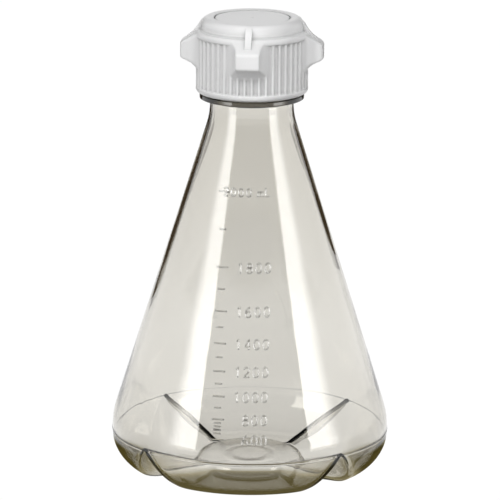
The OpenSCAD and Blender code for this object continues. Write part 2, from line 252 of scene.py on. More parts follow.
def columnAngles(edge):
    # each row's angles, so spread that a column runs along each edge of a notch
    s = flask
    zone = math.radians(s["zoneDeg"])
    near = np.linspace(0, 1, s["near"], endpoint=False)[None] * edge[:, None]
    far = edge[:, None] + np.linspace(0, 1, s["far"], endpoint=False)[None] * (zone - edge[:, None])
    between = zone + np.linspace(0, 1, s["between"], endpoint=False) * (math.pi / 2 - 2 * zone)
    half = np.concatenate([near, far], 1)
    mirrored = -half[:, :0:-1]
    quarter = np.concatenate([mirrored, half, np.broadcast_to(between, (len(edge), s["between"])),
                              np.full((len(edge), 1), math.pi / 2 - zone)], 1)
    return np.concatenate([quarter + math.pi / 4 + k * math.pi / 2 for k in range(4)], 1)


def threadRidge(angle, height, startZ, turns, pitch, width):
    # 0 to 1 over a helix that climbs one pitch a turn: a smooth ridge with tapered ends
    ridge = np.zeros(np.broadcast(angle, height).shape)
    turnOf = np.mod(angle, 2 * math.pi) / (2 * math.pi)
    for k in range(int(turns) + 1):
        run = turnOf + k
        away = np.abs(height - (startZ + pitch * run)) / (width / 2)
        flank = np.clip(1.6 * (1 - away), 0, 1)
        ends = np.clip(run / 0.08, 0, 1) * np.clip((turns - run) / 0.08, 0, 1)
        ridge = np.maximum(ridge, flank * flank * (3 - 2 * flank) * np.where(run <= turns, ends, 0))
    return ridge


def makeFlask():
    s, p = flask, place
    outer, finish, inner = bodyOutline(0), finishOutline(), bodyOutline(s["wall"])[::-1]
    tangent = np.gradient(inner, axis=0)
    normal = np.stack([tangent[:, 1], -tangent[:, 0]], 1) / np.linalg.norm(tangent, axis=1)[:, None]
    # the blown wall is thick at the shoulder and thin at the bowl
    inner = inner + normal * np.interp(inner[:, 1], s["thickAt"], s["thicker"])[:, None]
    rows = np.concatenate([outer, finish, inner])
    grow = np.zeros(len(rows))
    grow[len(outer) + len(finish):] = s["wall"]
    plain = math.radians(s["plainDeg"])
    edge = np.concatenate([baffleEdge(outer, 0, s["leastDeg"], s["mostDeg"]), np.full(len(finish), plain),
                           baffleEdge(inner, s["wall"], s["leastDeg"], s["mostDeg"] + 2)])
    calm = (rows[:, 1] > s["ringZ"] + s["calmAbove"]) | (rows[:, 0] < s["calmInR"])
    edge = np.where(calm, plain, edge)
    angle = columnAngles(edge)
    radius, height = widen(rows, angle)
    x, y = radius * np.cos(angle), radius * np.sin(angle)
    lift = baffleHeight(x, y, grow[:, None])
    soft = s["edgeSoft"] * np.clip((s["ringZ"] - height) / s["softRise"], 0.02, 1)
    inBase = height < s["ringZ"] + 3
    height = np.where(inBase, softMax(height, lift, soft), height)
    # mould line round the bowl: a ridge in a shallow recess, exp(-(off / width)^2) each
    number = np.arange(len(rows))
    off = rows[:, 1] - s["partingZ"]
    ridge = np.exp(-(off / s["partingW"]) ** 2) - np.exp(-(off / s["recessW"]) ** 2)
    mould = s["partingH"] * ridge * (number < len(outer)) * (rows[:, 0] > 60)
    radius = radius + mould[:, None]
    # thread
    onFinish = (number >= len(outer)) & (number < len(outer) + len(finish))
    onFinish &= np.abs(rows[:, 0] - p["finishR"]) < 0.01
    startZ = p["rimZ"] - s["threadDrop"] - s["pitch"] * s["threadTurns"]
    ridge = threadRidge(angle, height, startZ, s["threadTurns"], s["pitch"], s["threadW"])
    radius = radius + s["threadH"] * ridge * onFinish[:, None]
    return gridPiece("flask_wall", spin(radius, height, angle))


flaskWall = makeFlask()
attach(flaskWall, "flask")
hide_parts("flask_body")
print("flask made:", len(flaskWall.data.polygons), "faces")

closure = {
    "skirtGap": 0.7, "gasketT": 2.0, "crownH": 4.6, "boreR": 28.8, "landR": 27.4, "skirtR": 31.2,
    "drumR": 29.7, "drumStep": 0.25, "stepDrop": 5.8, "shoulderR": 32.8, "shoulderDrop": 7.8,
    "bandR": 32.55, "bandH": 3.8, "crownRound": 4.2, "coverSeatR": 21.9, "coverDrop": 0.5, "coverT": 1.8,
    "ledgeW": 1.7, "deckT": 1.4, "deckDrop": 0.6, "collarH": 5.0, "collarWall": 0.9, "collarR": 22.9,
    "windowR": 19.6, "hubR": 3.0, "spokeW": 1.4, "spokes": 8,
    "ribCount": 48, "ribR": 0.95, "ribAt": 31.5, "ribSoft": 0.16,
    "lugR": 41.4, "lugHalfW": 7.0, "lugFillet": 14.0, "lugDrop": 15.6, "lugFaceH": 7.8, "lugUnderH": 8.6,
    "lugSoft": 1.3, "lugWall": 1.6, "lugTopR": 2.6, "lugLowR": 1.8, "flareAt": 40.0,
    "roofDrop": 3.7, "roofFall": 0.62, "hollowDeg": 15.5, "hollowColumns": 125,
    "gussetHalfT": 1.9, "gussetDrop": 2.6, "gussetArcR": 21.0, "toeOut": 3.6, "toeUp": 4.1,
    "threadH": 1.9, "threadW": 3.2, "pitch": 7.0, "coverGap": 0.15, "notchR": 1.1, "columnDeg": 0.75,
    "outerStep": 0.62, "innerStep": 2.6,
}


def closurePlaces(s):
    c = {"skirtZ": place["flangeTopZ"] + s["skirtGap"], "sealZ": place["rimZ"] + s["gasketT"] + 0.05}
    c["topZ"] = c["sealZ"] + s["crownH"]
    c["shoulderZ"] = c["topZ"] - s["shoulderDrop"]
    c["ledgeZ"] = c["topZ"] - s["coverDrop"] - s["coverT"]
    c["deckZ"] = c["sealZ"] - s["deckDrop"]
    c["faceZ"] = c["topZ"] - s["lugDrop"]
    c["lowZ"] = c["faceZ"] - s["lugFaceH"]
    return c


seat = closurePlaces(closure)


def closureOutline():
    # outer half (skirt's foot to the crown's inner edge) and inner half (seat to the bore's foot)
    s, c = closure, seat
    top, sh, foot = c["topZ"], c["shoulderZ"], c["skirtZ"]
    step, drum, ledge = top - s["stepDrop"], s["drumR"] + s["drumStep"], c["ledgeZ"]
    outerCorners = [(s["bandR"] - 2.6, foot), (s["bandR"], foot, 2.4),
                    (s["bandR"], foot + s["bandH"] - 0.5, 0.4), (s["skirtR"], foot + s["bandH"] + 0.5, 0.6),
                    (s["skirtR"], sh - 4.3, 0.8), (s["shoulderR"], sh - 2.9, 0.8),
                    (s["shoulderR"], sh - 0.25, 1.6), (drum, sh + 0.35, 0.5), (drum, step - 0.15, 0.2),
                    (s["drumR"], step + 0.15, 0.2), (s["drumR"], top, s["crownRound"]),
                    (s["coverSeatR"] + 1.9, top)]
    chamber = s["coverSeatR"] - s["ledgeW"]
    collarIn = s["collarR"] - s["collarWall"]
    deckTop, collarLow, land = c["deckZ"] + s["deckT"], c["deckZ"] - s["collarH"], sh - 3.4
    innerCorners = [(s["coverSeatR"] + 1.3, top), (s["coverSeatR"], top, 1.1),
                    (s["coverSeatR"], ledge, 0.15), (chamber, ledge, 0.2), (chamber, deckTop, 0.25),
                    (s["windowR"], deckTop, 0.2), (s["windowR"], c["deckZ"], 0.2),
                    (collarIn, c["deckZ"], 0.2), (collarIn, collarLow, 0.15),
                    (s["collarR"], collarLow, 0.35), (s["collarR"], c["sealZ"], 0.2),
                    (s["landR"], c["sealZ"], 0.3), (s["landR"], land + 1.4, 0.3),
                    (s["boreR"], land, 0.3), (s["boreR"], foot, 0.5), (s["bandR"] - 2.9, foot)]
    return roundedPath(outerCorners, s["outerStep"]), roundedPath(innerCorners, s["innerStep"], perArc=3)


def lugColumns():
    # angles of a quarter round a lug: even, with more beside the gusset's sides and the lug's corners
    even = np.arange(0, 45, closure["columnDeg"])
    extra = np.concatenate([np.array([2.65, 2.85, 3.2, 3.4]), np.arange(9.2, 12.4, 1.0)])
    extra = extra[np.abs(extra[:, None] - even[None]).min(1) > 0.08]
    half = np.sort(np.concatenate([even, extra]))
    quarter = np.radians(np.concatenate([-half[:0:-1], half, [45.0]]))
    return np.concatenate([quarter + k * math.pi / 2 for k in range(4)])


def ribReach(angle):
    # outside radius of the ribbed skirt: circles of radius ribR set on ribAt, half a pitch off the lugs
    s = closure
    pitch = 2 * math.pi / s["ribCount"]
    away = np.mod(angle, pitch) - pitch / 2
    side = s["ribAt"] * np.sin(away)
    high = np.sqrt(np.clip(s["ribR"] ** 2 - side ** 2, 0.0025, None))
    rib = s["ribAt"] * np.cos(away) + high - 0.8 * np.clip(np.abs(side) - s["ribR"], 0, None)
    return softMax(np.full_like(angle, s["skirtR"]), rib, s["ribSoft"])


def offLug(angle):
    # angle to the middle of the nearest of the four lugs
    return np.abs(np.mod(angle + math.pi / 4, math.pi / 2) - math.pi / 4)


def flankReach(angle, halfW, fillet):
    # how far a ray reaches in a plan of half width halfW whose flanks flare by a circle of radius
    # fillet about c = (flareAt, lugHalfW + lugFillet): c.u - sqrt((c.u)^2 - |c|^2 + fillet^2)
    s = closure
    lean = offLug(angle)
    cx, cy = s["flareAt"], s["lugHalfW"] + s["lugFillet"]
    along = cx * np.cos(lean) + cy * np.sin(lean)
    under = along ** 2 - cx ** 2 - cy ** 2 + fillet ** 2
    arcReach = along - np.sqrt(np.clip(under, 0, None))
    straight = halfW / np.maximum(np.sin(lean), 0.01)
    reach = np.where(straight * np.cos(lean) > cx, straight, arcReach)
    return np.where(lean > math.atan2(cy, cx), 20.0, np.minimum(reach, 70.0))


def lugSide(z):
    # side outline of a lug, radius over height: shoulder, round, face, round, underside, skirt
    s, c = closure, seat
    r, face, low, under = s["lugR"], c["faceZ"], c["lowZ"], s["lugUnderH"]
    up = arc((r - s["lugTopR"], face - 0.4), s["lugTopR"], 68, 0, 10)
    down = arc((r - s["lugLowR"], low + 1.0), s["lugLowR"], 0, -62, 8)
    path = np.concatenate([[[28.0, c["shoulderZ"] + 1.6], [31.7, c["shoulderZ"] - 0.6]], up,
                           [[r, face - 0.4]], down,
                           [[r - 5.6, low - 0.32 * under], [32.4, low - 0.68 * under], [30.6, low - under],
                            [28.0, low - under - 2.0]]])
    return np.interp(z, path[::-1, 1], path[::-1, 0])


def gussetSide(z):
    # hollow back of the gusset: an arc from the drum down to the toe on the lug
    s, c = closure, seat
    head = np.array([s["drumR"] + 0.5, c["topZ"] - s["gussetDrop"]])
    toe = np.array([s["lugR"] - s["toeOut"], c["faceZ"] + s["toeUp"]])
    chord = toe - head
    half = np.linalg.norm(chord) / 2
    normal = np.array([-chord[1], chord[0]]) / (2 * half)
    centre = (head + toe) / 2 + normal * math.sqrt(s["gussetArcR"] ** 2 - half ** 2)
    reach = centre[0] - np.sqrt(np.clip(s["gussetArcR"] ** 2 - (z - centre[1]) ** 2, 0, None))
    reach = np.where(z < toe[1], toe[0], reach)
    return np.where(z > head[1] + 0.3, 0, reach)


def makeClosure():
    s, c = closure, seat
    outer, inner = closureOutline()
    rows = np.concatenate([outer, inner])
    angle = np.broadcast_to(lugColumns()[None], (len(rows), len(lugColumns())))
    radius, height = widen(rows, angle)
    isOuter = (np.arange(len(rows)) < len(outer))[:, None]
    ribbed = isOuter & (height > c["skirtZ"] + s["bandH"] - 1.2) & (height < c["shoulderZ"] - 1.5)
    body = np.where(ribbed, softMax(radius, ribReach(angle) - np.where(ribbed, 0, 9), 0.1), radius)
    flank = flankReach(angle, s["lugHalfW"], s["lugFillet"])
    lug = softMin(lugSide(height) + 0.25, flank + 0.25, s["lugSoft"])
    inLug = isOuter & (height < c["shoulderZ"] + 0.2) & (height > c["lowZ"] - s["lugUnderH"] - 1)
    body = np.where(inLug, softMax(body, lug, 0.35), body)
    side = s["gussetHalfT"] / np.maximum(np.sin(offLug(angle)), 0.02)
    plate = softMin(gussetSide(height), side, 0.35)
    onTop = isOuter & (height > c["faceZ"] + 1.0) & (height < c["topZ"] - s["gussetDrop"] + 0.4)
    body = np.where(onTop, softMax(body, plate, 0.2), body)
    inBore = ~isOuter & (rows[:, :1] > s["boreR"] - 0.01) & (height > c["skirtZ"] + 1)
    startZ = place["rimZ"] - flask["threadDrop"] - s["pitch"] * (flask["threadTurns"] + 0.5) - 0.4
    ridge = threadRidge(angle, height, startZ, flask["threadTurns"] + 0.4, s["pitch"], s["threadW"])
    body = body - s["threadH"] * ridge * inBore
    return gridPiece("closure_skin", spin(body, height, angle), wrapRows=True)


def lugHollow(turn):
    # what is cut from a lug from below: from the ribs out to the lug's inner wall, up to a sloping roof
    s, c = closure, seat
    angle = np.radians(np.linspace(-s["hollowDeg"], s["hollowDeg"], s["hollowColumns"]))
    wallIn = flankReach(angle, s["lugHalfW"] - s["lugWall"], s["lugFillet"] + s["lugWall"])
    far = softMin(np.full_like(angle, s["lugR"] - s["lugWall"]), wallIn, 0.6)
    near = ribReach(angle) + 0.2
    far = np.maximum(far, near + 0.02)
    roofIn, low = c["shoulderZ"] - s["roofDrop"], c["lowZ"] - s["lugUnderH"] - 3
    roofOut = roofIn - (far - near) * s["roofFall"]
    loop = [(near, low), (far, low), (far, roofOut - 0.8),
            (np.maximum(far - 0.8, near + 0.01), roofOut), (near, roofIn)]
    grid = np.array([np.broadcast_arrays(*spot) for spot in loop])
    points = spin(grid[:, 0], grid[:, 1], (angle + turn)[None]).reshape(-1, 3)
    n = len(angle)
    i, j = np.arange(5)[:, None], np.arange(n - 1)[None]
    a, d = i * n + j, ((i + 1) % 5) * n + j
    faces = np.stack([a, d, d + 1, a + 1], -1).reshape(-1, 4).tolist()
    faces += [[k * n for k in range(4, -1, -1)], [k * n + n - 1 for k in range(5)]]
    return meshFrom("lugHollow", points, faces)


def cutAway(piece, cutters):
    for cutter in cutters:
        cut = piece.modifiers.new("cut", "BOOLEAN")
        cut.operation = "DIFFERENCE"
        cut.solver = "EXACT"
        cut.object = cutter
    view = bpy.context.evaluated_depsgraph_get()
    done = bpy.data.meshes.new_from_object(piece.evaluated_get(view), depsgraph=view)
    old = piece.data
    piece.modifiers.clear()
    piece.data = done
    bpy.data.meshes.remove(old)
    for cutter in cutters:
        bpy.data.meshes.remove(cutter.data)


closureSkin = makeClosure()
cutAway(closureSkin, [lugHollow(k * math.pi / 2) for k in range(4)])
closureSkin.data.polygons.foreach_set("use_smooth", np.ones(len(closureSkin.data.polygons), bool))
closureSkin.data.set_sharp_from_angle(angle=math.radians(38))
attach(closureSkin, "closure")
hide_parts("closure_shell")
print("closure made:", len(closureSkin.data.polygons), "faces")


def makeCover():
    # disc with a rounded edge, a gate dot in the middle and two air notches at its edge
    s, c = closure, seat
    edgeR, topZ, lowZ = s["coverSeatR"] - s["coverGap"], c["topZ"] - s["coverDrop"], c["ledgeZ"] + 0.05
    corners = [(0.25, topZ - 0.25), (0.55, topZ - 0.22), (0.95, topZ, 0.2), (edgeR, topZ, 0.45),
               (edgeR, lowZ, 0.25), (0.3, lowZ)]
    rows = roundedPath(corners, 0.6)
    angle = np.radians(np.arange(0, 360, 1.5))[None]
    radius, height = widen(rows, angle)
    # notches with a radius of notchR about two points on the edge
    x, y = radius * np.cos(angle), radius * np.sin(angle)
    for side in (1, -1):
        near = np.hypot(x - side * edgeR, y)
        back = np.sqrt(np.clip(s["notchR"] ** 2 - y ** 2, 0, None))
        notched = (near < s["notchR"]) & (x * side > 0)
        radius = np.where(notched, np.minimum(radius, edgeR - back + 0.02), radius)
    return gridPiece("vent_disc", spin(radius, height, np.broadcast_to(angle, radius.shape)))


ventDisc = makeCover()
ventDisc.data.set_sharp_from_angle(angle=math.radians(40))
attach(ventDisc, "closure")
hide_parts("vent_cover")


def makeGrille():
    # hub, middle ring and spokes across the deck's window, each a closed ring or bar
    s, c = closure, seat
    low, high = c["deckZ"] + 0.05, c["deckZ"] + s["deckT"] - 0.05
    points, faces = [], []

    def ring(inR, outR):
        angle = np.radians(np.arange(0, 360, 5.0))
        loop = [(inR, low), (outR, low), (outR, high), (inR, high)]
        base = len(points)
        for r, z in loop:
            points.extend(spin(np.full_like(angle, r), np.full_like(angle, z), angle).tolist())
        faces.extend((gridFaces(4, len(angle), True) + base).tolist())

    def bar(turn, inR, outR):
        base, w = len(points), s["spokeW"] / 2
        for z in (low + 0.02, high - 0.02):
            for r, side in ((inR, -w), (outR, -w), (outR, w), (inR, w)):
                points.append((r * math.cos(turn) - side * math.sin(turn),
                               r * math.sin(turn) + side * math.cos(turn), z))
        quads = [(3, 2, 1, 0), (4, 5, 6, 7), (0, 1, 5, 4), (1, 2, 6, 5), (2, 3, 7, 6), (3, 0, 4, 7)]
        faces.extend([[base + k for k in q] for q in quads])

    middle = (s["hubR"] + s["windowR"]) / 2
    ring(0.4, s["hubR"])
    ring(middle - s["spokeW"] / 2, middle + s["spokeW"] / 2)
    for k in range(s["spokes"]):
        bar((k + 0.5) * 2 * math.pi / s["spokes"], s["hubR"] - 0.4, s["windowR"] + 0.3)
    return meshFrom("vent_grille", points, faces, 30)


ventGrille = makeGrille()
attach(ventGrille, "closure")
print("vent made")

# strokes of each character in a box 0.6 wide and 1 high, as polylines; a ring closes on itself
strokes = {
    "0": [("ring", 0.3, 0.5, 0.27, 0.48)],
    "1": [[(0.16, 0.78), (0.34, 0.98), (0.34, 0.0)]],
    "2": [[(0.04, 0.76), (0.10, 0.92), (0.26, 0.99), (0.44, 0.96), (0.55, 0.82), (0.53, 0.64), (0.40, 0.45),
           (0.22, 0.24), (0.04, 0.02), (0.57, 0.02)]],
    "4": [[(0.46, 0.0), (0.46, 0.98), (0.03, 0.30), (0.59, 0.30)]],
    "6": [("ring", 0.3, 0.3, 0.26, 0.29), [(0.05, 0.36), (0.08, 0.62), (0.22, 0.86), (0.44, 0.98)]],
    "8": [("ring", 0.3, 0.27, 0.26, 0.26), ("ring", 0.3, 0.76, 0.22, 0.22)],
    "m": [[(0.0, 0.0), (0.0, 0.64)], [(0.0, 0.46), (0.12, 0.62), (0.26, 0.62), (0.34, 0.5), (0.34, 0.0)],
          [(0.34, 0.46), (0.46, 0.62), (0.60, 0.62), (0.68, 0.5), (0.68, 0.0)]],
    "L": [[(0.02, 0.98), (0.02, 0.02), (0.48, 0.02)]],
}

scale = {
    "levels": [(2000, 173.8), (1800, 132.4), (1600, 108.3), (1400, 90.6), (1200, 75.4), (1000, 61.7),
               (800, 49.1), (600, 38.0)],
    "half": 0.45, "high": 0.055, "clear": 0.015, "digitH": 5.6, "digitGap": 5.3, "labelFrom": -4.2,
    "titleFrom": -13.6, "titleH": 4.6, "titleGap": 4.5, "unitFrom": 6.4, "unitGap": 3.6,
    "tickFrom": -16.8, "tickLong": 7.2, "tickShort": 4.2, "tickIn": 1.2, "fine": (43.3, 45.2, 47.1, 41.4),
}


def coneSpot(u, v):
    # u mm to the right along the wall and z = v on the graduated side: point and outward normal
    rows = bodyOutline(0)
    rows = rows[rows[:, 1] > flask["ringZ"]]

    def radiusAt(height):
        return np.interp(height, rows[:, 1], rows[:, 0])

    r = radiusAt(v)
    slope = radiusAt(v + 0.5) - radiusAt(v - 0.5)
    turn = u / r - math.pi / 2
    spot = spin(r, v, turn)
    normal = np.stack([np.cos(turn), np.sin(turn), -slope], -1)
    return spot, normal / np.linalg.norm(normal, axis=-1)[..., None]


def beads(name, paths):
    # each path of (u, v) is drawn as a low bead that stands clear of the wall; its section is about
    # high * (0.5 + 0.5 cos) over the width, with lifted edges on a flat foot
    g = scale
    points, faces = [], []
    offset = np.array([1.0, 0.62, 0.3, 0.0, -0.3, -0.62, -1.0, 0.0]) * g["half"]
    rise = np.array([0.06, 0.32, 0.79, 1.0, 0.79, 0.32, 0.06, 0.0]) * g["high"]
    for path, closed in paths:
        path = np.asarray(path, float)
        spot, normal = coneSpot(path[:, 0], path[:, 1])
        if closed:
            tangent = np.roll(spot, -1, 0) - np.roll(spot, 1, 0)
        else:
            tangent = np.gradient(spot, axis=0)
        tangent /= np.linalg.norm(tangent, axis=1)[:, None]
        across = np.cross(normal, tangent)
        middle = spot + normal * g["clear"]
        ring = middle[:, None] + offset[:, None] * across[:, None] + rise[:, None] * normal[:, None]
        base, n = len(points), len(path)
        points.extend(ring.reshape(-1, 3).tolist())
        faces.extend((gridFaces(n, 8, closed) + base).tolist())
        if not closed:
            ends = middle[[0, -1]] + normal[[0, -1]] * g["high"] * 0.3
            points.extend(ends.tolist())
            low, last = base + n * 8, base + (n - 1) * 8
            faces += [[low, base + (q + 1) % 8, base + q] for q in range(8)]
            faces += [[low + 1, last + q, last + (q + 1) % 8] for q in range(8)]
    return meshFrom(name, points, faces)


def finePath(path, step=0.7):
    path = np.asarray(path, float)
    out = [path[:1]]
    for a, b in zip(path[:-1], path[1:]):
        n = max(1, math.ceil(np.linalg.norm(b - a) / step))
        out.append(a + np.linspace(0, 1, n + 1)[1:, None] * (b - a))
    return np.concatenate(out)


def textPaths(text, fromU, lowV, high, gap):
    # characters set side by side from fromU, their feet on lowV
    out, u = [], fromU
    for letter in text:
        for stroke in strokes[letter]:
            if stroke[0] == "ring":
                _, cx, cy, rx, ry = stroke
                t = np.linspace(0, 2 * math.pi, 22, endpoint=False)
                ring = np.stack([u + high * (cx + rx * np.cos(t)), lowV + high * (cy + ry * np.sin(t))], 1)
                out.append((ring, True))
            else:
                path = np.array(stroke) * high + np.array([u, lowV])
                out.append((finePath(path), False))
        u += gap * (1.25 if letter == "m" else 1)
    return out


def makeScale():
    g = scale
    volumes, heights = np.array(g["levels"][::-1], float).T
    paths = []

    def tick(z, inset, length):
        start = g["tickFrom"] + inset
        paths.append((finePath([(start, z), (start + length, z)]), False))

    for volume, z in g["levels"]:
        tick(z, 0, g["tickLong"])
        if volume < 2000:
            fromU = g["labelFrom"] + (0 if volume >= 1000 else g["digitGap"])
            paths.extend(textPaths(str(volume), fromU, z - g["digitH"] / 2, g["digitH"], g["digitGap"]))
    halves = np.interp(np.arange(1900, 600, -200), volumes, heights)
    for z in (*halves, *g["fine"]):
        tick(z, g["tickIn"], g["tickShort"])
    z = g["levels"][0][1] - g["titleH"] / 2
    paths += textPaths("2000", g["titleFrom"], z, g["titleH"], g["titleGap"])
    paths += textPaths("mL", g["unitFrom"], z, g["titleH"], g["unitGap"])
    return beads("scale_marks", paths)


scaleMarks = makeScale()
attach(scaleMarks, "flask")
print("scale made:", len(scaleMarks.data.polygons), "faces")


def newMaterial(name):
    # material, its node tree and its shader
    material = bpy.data.materials.new(name)
    material.use_nodes = True
    tree = material.node_tree
    return material, tree, tree.nodes.get("Principled BSDF")


def feed(node, inputs):
    # each input takes a value, or the output of another node
    for key, value in dict(inputs).items():
        if isinstance(value, bpy.types.NodeSocket):
            node.id_data.links.new(value, node.inputs[key])
        else:
            node.inputs[key].default_value = value


def addNode(tree, kind, inputs=(), **settings):
    # a new node; the settings come first, because they choose its sockets
    node = tree.nodes.new("ShaderNode" + kind)
    for key, value in settings.items():
        setattr(node, key, value)
    feed(node, inputs)
    return node


def addMath(tree, operation, *values, **settings):
    return addNode(tree, "Math", enumerate(values), operation=operation, **settings).outputs[0]


def addVector(tree, operation, *values):
    node = addNode(tree, "VectorMath", enumerate(values), operation=operation)
    return node.outputs["Value" if operation == "LENGTH" else "Vector"]


def addMix(tree, first, second, factor, kind="FLOAT"):
    inputs = {"A": first, "B": second, "Factor": factor}
    return addNode(tree, "Mix", inputs, data_type=kind).outputs["Result"]


def addGroup(name, inputs, outputs):
    # an empty node group with float inputs {name: value}; outputs are "Float" or "Vector"
    tree = bpy.data.node_groups.new(name, "ShaderNodeTree")
    for key, value in inputs.items():
        tree.interface.new_socket(key, in_out="INPUT", socket_type="NodeSocketFloat").default_value = value
    for key, kind in outputs.items():
        tree.interface.new_socket(key, in_out="OUTPUT", socket_type="NodeSocket" + kind)
    return tree, tree.nodes.new("NodeGroupInput").outputs, tree.nodes.new("NodeGroupOutput")


def mouldSkin():
    # moulded surface: a bumped normal, Height metres deep and Size to a metre (stretched upwards by
    # Stretch), and a roughness that wanders by Spread about Roughness
    inputs = {"Size": 40.0, "Stretch": 1.0, "Height": 0.0001, "Roughness": 0.3, "Spread": 0.05}
    tree, given, out = addGroup("mouldSkin", inputs, {"Normal": "Vector", "Roughness": "Float"})
    stretch = addNode(tree, "CombineXYZ", {"X": 1, "Y": 1, "Z": given["Stretch"]}).outputs["Vector"]
    spot = addVector(tree, "MULTIPLY", addNode(tree, "TexCoord").outputs["Object"], stretch)
    noise = {"Detail": 1.5, "Vector": spot, "Scale": given["Size"]}
    waves = addNode(tree, "TexNoise", noise).outputs["Fac"]
    bump = addNode(tree, "Bump", {"Height": waves, "Distance": given["Height"]})
    centred = addMath(tree, "SUBTRACT", waves, 0.5)
    wander = addMath(tree, "MULTIPLY_ADD", centred, given["Spread"], given["Roughness"])
    feed(out, {"Normal": bump.outputs["Normal"], "Roughness": wander})
    return tree


def zoneMask():
    # 1 where the way to the axis is within Across of Radius and the height within Rise of Height,
    # softened over a tenth of each
    inputs = {"Radius": 0.0, "Across": 0.03, "Height": 0.0, "Rise": 0.011}
    tree, given, out = addGroup("zoneMask", inputs, {"Mask": "Float"})
    spot = addNode(tree, "TexCoord").outputs["Object"]
    away = addVector(tree, "LENGTH", addVector(tree, "MULTIPLY", spot, (1, 1, 0)))
    up = addNode(tree, "SeparateXYZ", {"Vector": spot}).outputs["Z"]

    def band(value, centre, half):
        off = addMath(tree, "ABSOLUTE", addMath(tree, "SUBTRACT", value, given[centre]))
        share = addMath(tree, "DIVIDE", off, given[half])
        ramp = {"From Min": 1.1, "From Max": 0.9, "Value": share}
        return addNode(tree, "MapRange", ramp).outputs["Result"]

    mask = addMath(tree, "MULTIPLY", band(away, "Radius", "Across"), band(up, "Height", "Rise"))
    feed(out, {"Mask": mask})
    return tree


def creviceMask():
    # 1 on open surfaces, less by Depth times the share of the sky hidden within Reach metres; it sets where
    # painted shade darkens grooves and corners
    tree, given, out = addGroup("creviceMask", {"Reach": 0.003, "Depth": 0.5}, {"Mask": "Float"})
    sky = addNode(tree, "AmbientOcclusion", {"Distance": given["Reach"]}, samples=6).outputs["AO"]
    lost = addMath(tree, "SUBTRACT", sky, 1.0)
    feed(out, {"Mask": addMath(tree, "MULTIPLY_ADD", lost, given["Depth"], 1.0, use_clamp=True)})
    return tree


def useGroup(tree, group, values):
    return addNode(tree, "Group", values, node_tree=group).outputs


skinGroup, zoneGroup, creviceShadeGroup = mouldSkin(), zoneMask(), creviceMask()

clearFinish = {
    "tint": (0.985, 0.982, 0.965, 1), "ior": 1.57, "roughness": 0.015,
    "depthTint": (0.30, 0.25, 0.14, 1), "density": 107.0, "shadowTint": (0.93, 0.92, 0.89, 1),
    "skin": {"Size": 42.0, "Stretch": 0.7, "Height": 0.00016, "Roughness": 0.015, "Spread": 0.0},
    "frost": 0.14, "frosted": {"Radius": 0.0, "Across": 0.03, "Height": 0.0, "Rise": 0.011},
    # painted shade: a near-black colour for the support flange's edge, in the zone that follows
    "flangeShadeTint": (0.035, 0.031, 0.02, 1),
    "edge": {"Radius": 0.0298, "Across": 0.0048, "Height": 0.2232, "Rise": 0.0021},
}


def clearPlastic():
    f = clearFinish
    material, tree, shader = newMaterial("clearPlastic")
    skin = useGroup(tree, skinGroup, f["skin"])
    feed(shader, {"Base Color": f["tint"], "IOR": f["ior"], "Roughness": f["roughness"],
                  "Transmission Weight": 1.0, "Normal": skin["Normal"]})
    # the pushed-up floor is frosted
    frosted = useGroup(tree, zoneGroup, f["frosted"])["Mask"]
    frost = addNode(tree, "MapRange", {"To Min": skin["Roughness"], "To Max": f["frost"], "Value": frosted})
    # painted shade: the base colour is darkened to near black on the edge of the support flange
    edge = useGroup(tree, zoneGroup, f["edge"])["Mask"]
    feed(shader, {"Roughness": frost.outputs["Result"],
                  "Base Color": addMix(tree, f["tint"], f["flangeShadeTint"], edge, "RGBA")})
    through = addNode(tree, "BsdfTransparent", {"Color": f["shadowTint"]}).outputs["BSDF"]
    shadow = addNode(tree, "LightPath").outputs["Is Shadow Ray"]
    mix = addNode(tree, "MixShader", {"Fac": shadow, 1: shader.outputs["BSDF"], 2: through})
    depth = addNode(tree, "VolumeAbsorption", {"Color": f["depthTint"], "Density": f["density"]})
    feed(tree.nodes["Material Output"], {"Surface": mix.outputs[0], "Volume": depth.outputs[0]})
    return material


# bumps to a metre and their height in metres; milky is the share of light that passes below the surface,
# and the crevice number how far painted shade darkens the colour in grooves and corners
mattFinishes = {
    "whitePlastic": {"colour": (0.83, 0.83, 0.83), "bumps": 1400.0, "height": 0.000004, "roughness": 0.32,
                     "spread": 0.10, "gloss": 0.25, "paintedCreviceShade": 1.0},
    "ventPlastic": {"colour": (0.80, 0.81, 0.79), "bumps": 900.0, "height": 0.000006, "roughness": 0.5,
                    "spread": 0.12, "gloss": 0.3, "milky": 0.15},
    "weave": {"colour": (0.90, 0.90, 0.885), "bumps": 3200.0, "height": 0.00003, "roughness": 0.85,
              "spread": 0.1, "gloss": 0.1},
    "rubber": {"colour": (0.58, 0.60, 0.60), "bumps": 1800.0, "height": 0.000008, "roughness": 0.55,
               "spread": 0.1, "gloss": 0.4, "milky": 0.3},
}
grooveShade = {"reach": 0.0028, "left": 0.12}  # painted shade in grooves: how far it reaches in metres, and the share of the colour that is left where it is darkest


def mattStuff(name):
    # an opaque moulded or woven stuff
    f = mattFinishes[name]
    colour = (*f["colour"], 1)
    material, tree, shader = newMaterial(name)
    skin = useGroup(tree, skinGroup, {"Size": f["bumps"], "Height": f["height"],
                                      "Roughness": f["roughness"], "Spread": f["spread"]})
    feed(shader, {"Base Color": colour, "Specular IOR Level": f["gloss"], "Roughness": skin["Roughness"],
                  "Subsurface Weight": f.get("milky", 0), "Subsurface Radius": (0.001, 0.001, 0.0009),
                  "Subsurface Scale": 1.0, "Normal": skin["Normal"]})
    # painted shade: the colour darkens in grooves and corners by how much of the sky they hide
    if "paintedCreviceShade" in f:
        grooveShadeColour = (*(grooveShade["left"] * c for c in f["colour"]), 1)
        mask = useGroup(tree, creviceShadeGroup, {"Reach": grooveShade["reach"], "Depth": f["paintedCreviceShade"]})["Mask"]
        feed(shader, {"Base Color": addMix(tree, grooveShadeColour, colour, mask, "RGBA")})
    return material


